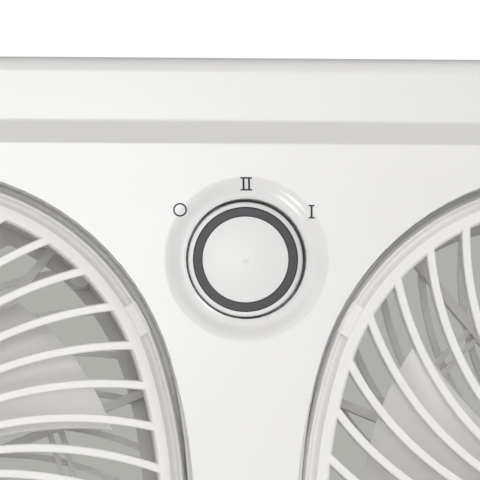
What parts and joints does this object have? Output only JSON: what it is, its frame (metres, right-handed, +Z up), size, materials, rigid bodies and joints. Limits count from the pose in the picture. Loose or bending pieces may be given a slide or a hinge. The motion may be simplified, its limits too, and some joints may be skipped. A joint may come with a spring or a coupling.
{
  "type": "twin box fan",
  "caption": "Upright box fan with two round-cornered grilled openings side by side, swirl-ribbed guards, paddle impellers and a rotary speed knob between them.",
  "frame": {"origin": "middle of the footprint, on the surface that the feet stand on", "axes": "+X to the right as seen from the front, +Y from the front to the back along the fan axes, +Z up"},
  "size_m": [0.59, 0.117, 0.307],
  "materials": {
    "housing_plastic": "satin white moulded",
    "grille_plastic": "satin white moulded",
    "blade_plastic": "satin off-white moulded",
    "knob_plastic": "satin white moulded",
    "dark_ring": "satin charcoal",
    "rubber": "matt",
    "lead_sheath": "matt white sheath",
    "black_plastic": "matt",
    "brass": "bright",
    "winding": "enamelled copper wire",
    "bronze": "sintered",
    "bell_steel": "zinc plated",
    "lamination": "stacked laminations",
    "fastener_steel": "zinc plated"
  },
  "bodies": {
    "housing": {"cord_grommet": "rubber", "foot_pads": "rubber", "front_bearing_left": "bronze", "front_bearing_right": "bronze", "front_bell_left": "bell_steel", "front_bell_right": "bell_steel", "front_grille_left": "grille_plastic", "front_grille_right": "grille_plastic", "front_shell": "housing_plastic", "grille_screws": "fastener_steel", "housing_screws": "fastener_steel", "motor_bolts": "fastener_steel", "motor_frame_left": "grille_plastic", "motor_frame_right": "grille_plastic", "motor_lead_left": "lead_sheath", "motor_lead_right": "lead_sheath", "motor_nuts": "fastener_steel", "rear_bearing_left": "bronze", "rear_bearing_right": "bronze", "rear_bell_left": "bell_steel", "rear_bell_right": "bell_steel", "rear_grille_left": "grille_plastic", "rear_grille_right": "grille_plastic", "rear_shell": "housing_plastic", "stator_left": "lamination", "stator_right": "lamination", "supply_lead": "lead_sheath", "switch_body": "black_plastic", "switch_nut": "fastener_steel", "switch_terminals": "brass", "terminal_block": "black_plastic", "windings_left": "winding", "windings_right": "winding"},
    "fan_left": {"rotor_left": "lamination", "shaft_left": "fastener_steel", "impeller_left": "blade_plastic", "impeller_nut_left": "grille_plastic"},
    "fan_right": {"rotor_right": "lamination", "shaft_right": "fastener_steel", "impeller_right": "blade_plastic", "impeller_nut_right": "grille_plastic"},
    "knob_body": {"switch_shaft": "fastener_steel", "knob": "knob_plastic", "knob_ring": "dark_ring", "knob_cap": "knob_plastic"}
  },
  "joints": [
    {"name": "fan_spin_left", "type": "hinge", "parent": "housing", "child": "fan_left", "pos_m": [-0.141, 0, 0.1545], "axis": [0, -1, 0], "continuous": true},
    {"name": "fan_spin_right", "type": "hinge", "parent": "housing", "child": "fan_right", "pos_m": [0.141, 0, 0.1545], "axis": [0, -1, 0], "continuous": true},
    {"name": "knob_turn", "type": "hinge", "parent": "housing", "child": "knob_body", "pos_m": [0, -0.045, 0.2411], "axis": [0, 1, 0], "range_deg": [0, 108]}
  ]
}
